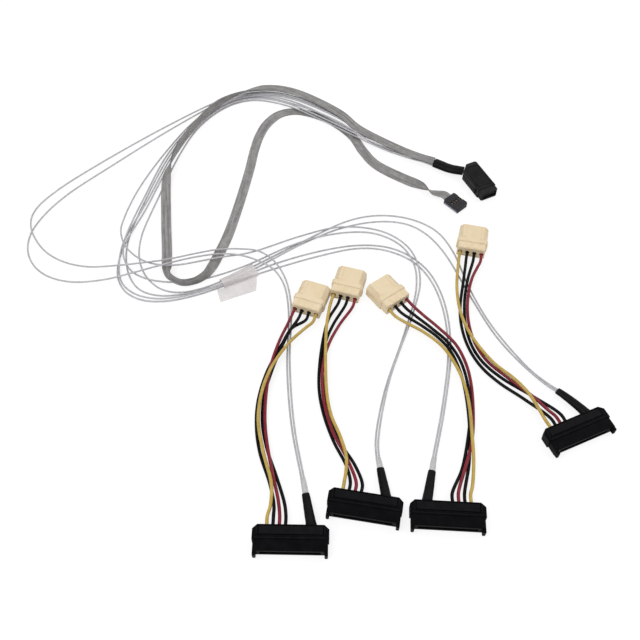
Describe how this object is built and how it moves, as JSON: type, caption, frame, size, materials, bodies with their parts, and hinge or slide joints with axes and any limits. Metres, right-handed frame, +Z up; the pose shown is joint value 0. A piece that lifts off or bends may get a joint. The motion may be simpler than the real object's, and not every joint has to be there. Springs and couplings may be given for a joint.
{
  "type": "mini sas breakout cable",
  "caption": "Breakout cable with a right-angled multi-lane plug, thin data wires to drive connectors, pale power connectors and a flat ribbon with a small two-row connector.",
  "frame": {"origin": "on the table, under the middle of the outline of the connectors and the label", "axes": "+Z up from the table the cable lies on; +Y from the drive connectors towards the plug; +X to the right of it"},
  "size_m": [0.3975, 0.404, 0.011],
  "materials": {
    "plug_plastic": "satin",
    "card": "semi-gloss",
    "sleeve": "matt",
    "black_plastic": "satin",
    "boot": "satin",
    "cream_plastic": "satin",
    "data_jacket": "semi-gloss, slightly see-through",
    "ribbon": "satin, ridged lengthwise",
    "grey_plastic": "satin",
    "label": "clear film",
    "jacket_yellow": "semi-gloss",
    "jacket_red": "semi-gloss",
    "jacket_black": "semi-gloss"
  },
  "bodies": {
    "root": {"plug_housing": "plug_plastic", "plug_cover": "plug_plastic", "plug_card": "card", "plug_sleeve": "sleeve", "sideband_housing": "grey_plastic", "sideband_ribbon": "ribbon", "label_flag": "label", "drive_housing_1": "black_plastic", "drive_cover_1": "black_plastic", "contact_insert_1": "black_plastic", "data_boot_1": "boot", "power_housing_1": "cream_plastic", "drive_housing_2": "black_plastic", "drive_cover_2": "black_plastic", "contact_insert_2": "black_plastic", "data_boot_2": "boot", "power_housing_2": "cream_plastic", "drive_housing_3": "black_plastic", "drive_cover_3": "black_plastic", "contact_insert_3": "black_plastic", "data_boot_3": "boot", "power_housing_3": "cream_plastic", "drive_housing_4": "black_plastic", "drive_cover_4": "black_plastic", "contact_insert_4": "black_plastic", "data_boot_4": "boot", "power_housing_4": "cream_plastic", "data_wire_1a": "data_jacket", "data_wire_1b": "data_jacket", "data_wire_2a": "data_jacket", "data_wire_2b": "data_jacket", "data_wire_3a": "data_jacket", "data_wire_3b": "data_jacket", "data_wire_4a": "data_jacket", "data_wire_4b": "data_jacket", "power_wire_1_yellow": "jacket_yellow", "power_wire_1_red": "jacket_red", "power_wire_1_black_a": "jacket_black", "power_wire_1_black_b": "jacket_black", "power_wire_2_yellow": "jacket_yellow", "power_wire_2_red": "jacket_red", "power_wire_2_black_a": "jacket_black", "power_wire_2_black_b": "jacket_black", "power_wire_3_yellow": "jacket_yellow", "power_wire_3_red": "jacket_red", "power_wire_3_black_a": "jacket_black", "power_wire_3_black_b": "jacket_black", "power_wire_4_yellow": "jacket_yellow", "power_wire_4_red": "jacket_red", "power_wire_4_black_a": "jacket_black", "power_wire_4_black_b": "jacket_black"}
  },
  "joints": []
}
